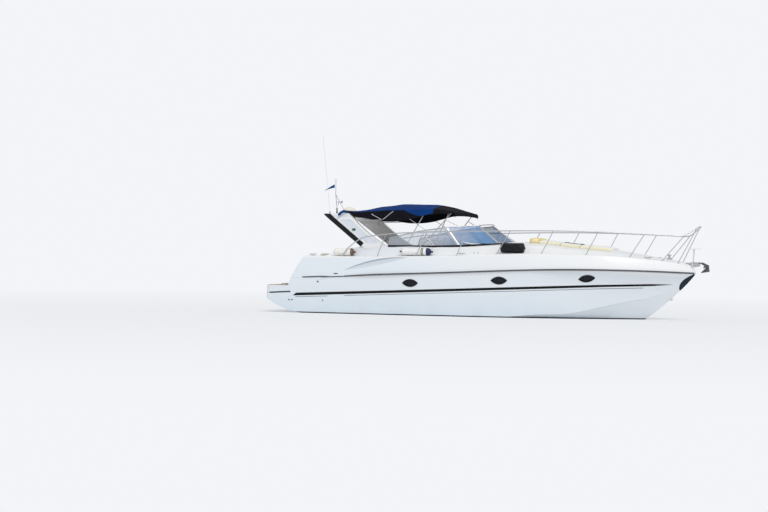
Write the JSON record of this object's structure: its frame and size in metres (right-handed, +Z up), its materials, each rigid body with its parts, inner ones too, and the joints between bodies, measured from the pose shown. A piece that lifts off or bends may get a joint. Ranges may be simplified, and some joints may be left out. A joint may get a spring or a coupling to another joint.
{
  "type": "speedboat",
  "caption": "Open motor cruiser with a V hull, swim platform, cockpit, curved windscreen, swept radar arch, canopy, guard rails, propellers, rudders and opening hatches.",
  "frame": {"origin": "amidships on the centreline, in the plane of the still water the boat floats in", "axes": "+X to the bow, +Y to port, +Z up"},
  "size_m": [13.5379, 4.215, 6.6106],
  "materials": {
    "hull_gelcoat": "polished white gelcoat with dark antifouling below the boot-top",
    "deck_gelcoat": "polished white gelcoat",
    "moulded_white": "white moulded plastic",
    "dark_rubber": "black rubber",
    "black_trim": "black anodised trim",
    "stainless": "polished stainless steel",
    "dark_steel": "dark galvanised steel",
    "bronze": "bronze",
    "rudder_paint": "antifouling paint on bronze",
    "tinted_glass": "light blue tinted safety glass",
    "dark_glass": "dark tinted glass",
    "teak": "laid teak with dark seams",
    "cabin_wood": "varnished wood",
    "white_vinyl": "cream vinyl",
    "sun_pad_vinyl": "white and pale yellow vinyl",
    "canvas": "blue canvas",
    "engine_paint": "grey engine paint",
    "radome_cream": "cream glass-fibre",
    "lamp": "clear lamp lens",
    "whip_white": "white glass-fibre",
    "fender_skin": "inflated vinyl",
    "wheel_rim": "black stitched leather"
  },
  "bodies": {
    "boat": {"anchor": "dark_steel", "anchor_light": "lamp", "arch": "deck_gelcoat", "arch_strips": "black_trim", "bow_eye": "stainless", "bow_roller": "stainless", "bow_step": "moulded_white", "cabin_fitout": "cabin_wood", "canopy": "canvas", "canopy_frame": "stainless", "canopy_roll": "canvas", "cleats": "stainless", "cockpit_cushions": "white_vinyl", "cockpit_sole": "teak", "deck": "deck_gelcoat", "deck_hatch_frame": "stainless", "engines": "engine_paint", "fenders": "fender_skin", "guard_rail_port": "stainless", "guard_rail_starboard": "stainless", "helm_console": "moulded_white", "hull": "hull_gelcoat", "light_mast": "stainless", "platform_teak": "teak", "port_glass": "dark_glass", "port_rims": "black_trim", "radome": "radome_cream", "rub_rail": "dark_rubber", "seat_bases": "moulded_white", "shaft_brackets": "bronze", "stem_guard": "black_trim", "stern_fittings": "stainless", "sun_pad": "sun_pad_vinyl", "wet_bar": "moulded_white", "windlass": "stainless", "windscreen_frame": "stainless", "windscreen_glass": "tinted_glass", "windscreen_sill": "black_trim"},
    "propeller_port": {"propeller_port": "bronze"},
    "propeller_starboard": {"propeller_starboard": "bronze"},
    "rudder_port": {"rudder_port": "rudder_paint"},
    "rudder_starboard": {"rudder_starboard": "rudder_paint"},
    "trim_tab_port": {"trim_tab_port": "stainless"},
    "trim_tab_starboard": {"trim_tab_starboard": "stainless"},
    "steering_wheel": {"steering_wheel": "wheel_rim"},
    "cabin_door": {"cabin_door": "dark_glass"},
    "transom_gate": {"transom_gate": "moulded_white"},
    "engine_hatch": {"engine_hatch": "teak"},
    "deck_hatch": {"deck_hatch": "dark_glass"},
    "locker_lid": {"locker_lid": "deck_gelcoat"},
    "wet_bar_lid": {"wet_bar_lid": "moulded_white"},
    "bathing_ladder": {"bathing_ladder": "stainless"},
    "whip_aerial": {"whip_aerial": "whip_white"}
  },
  "joints": [
    {"name": "propeller_port_spin", "type": "hinge", "parent": "boat", "child": "propeller_port", "pos_m": [-4.98, 0.56, -0.84], "axis": [0.9817, 0, 0.1907], "continuous": true},
    {"name": "propeller_starboard_spin", "type": "hinge", "parent": "boat", "child": "propeller_starboard", "pos_m": [-4.98, -0.56, -0.84], "axis": [0.9817, 0, 0.1907], "continuous": true},
    {"name": "helm", "type": "hinge", "parent": "boat", "child": "steering_wheel", "pos_m": [-1.5, -0.86, 1.86], "axis": [-0.9063, 0, 0.4226], "range_deg": [-540, 540]},
    {"name": "rudder_port_turn", "type": "hinge", "parent": "boat", "child": "rudder_port", "pos_m": [-5.26, 0.56, -0.8], "axis": [0, 0, 1], "range_deg": [-35, 35]},
    {"name": "rudder_starboard_turn", "type": "hinge", "parent": "boat", "child": "rudder_starboard", "pos_m": [-5.26, -0.56, -0.8], "axis": [0, 0, 1], "range_deg": [-35, 35]},
    {"name": "trim_tab_port_hinge", "type": "hinge", "parent": "boat", "child": "trim_tab_port", "pos_m": [-5.456, 0.86, -0.37327], "axis": [0, -0.9417, -0.3366], "range_deg": [-5, 15]},
    {"name": "trim_tab_starboard_hinge", "type": "hinge", "parent": "boat", "child": "trim_tab_starboard", "pos_m": [-5.456, -0.86, -0.37327], "axis": [0, -0.9417, 0.3366], "range_deg": [-5, 15]},
    {"name": "cabin_door_slide", "type": "slide", "parent": "boat", "child": "cabin_door", "axis": [0, 1, 0], "range_m": [0, 0.6]},
    {"name": "transom_gate_hinge", "type": "hinge", "parent": "boat", "child": "transom_gate", "pos_m": [-5.25, 1.314, 1.14], "axis": [0, 0, 1], "range_deg": [0, 90]},
    {"name": "engine_hatch_hinge", "type": "hinge", "parent": "boat", "child": "engine_hatch", "pos_m": [-2.956, 0, 1.14], "axis": [0, 1, 0], "range_deg": [0, 60]},
    {"name": "deck_hatch_hinge", "type": "hinge", "parent": "boat", "child": "deck_hatch", "pos_m": [3.02, 0, 2.21491], "axis": [0, 1, 0], "range_deg": [0, 70]},
    {"name": "locker_lid_hinge", "type": "hinge", "parent": "boat", "child": "locker_lid", "pos_m": [5.414, 0, 1.85561], "axis": [0, 1, 0], "range_deg": [0, 80]},
    {"name": "wet_bar_lid_hinge", "type": "hinge", "parent": "boat", "child": "wet_bar_lid", "pos_m": [-3.13, 1.384, 2.0183], "axis": [-1, 0, 0], "range_deg": [0, 75]},
    {"name": "bathing_ladder_fold", "type": "hinge", "parent": "boat", "child": "bathing_ladder", "pos_m": [-6.666, 0, 0.8653], "axis": [0, -1, 0], "range_deg": [0, 262]},
    {"name": "whip_aerial_fold", "type": "hinge", "parent": "boat", "child": "whip_aerial", "pos_m": [-4.79, -1.02, 3.1453], "axis": [0, -1, 0], "range_deg": [0, 80]}
  ],
  "couplings": [
    {"joint": "rudder_port_turn", "follows": "helm", "ratio": -0.0648},
    {"joint": "rudder_starboard_turn", "follows": "helm", "ratio": -0.0648}
  ]
}
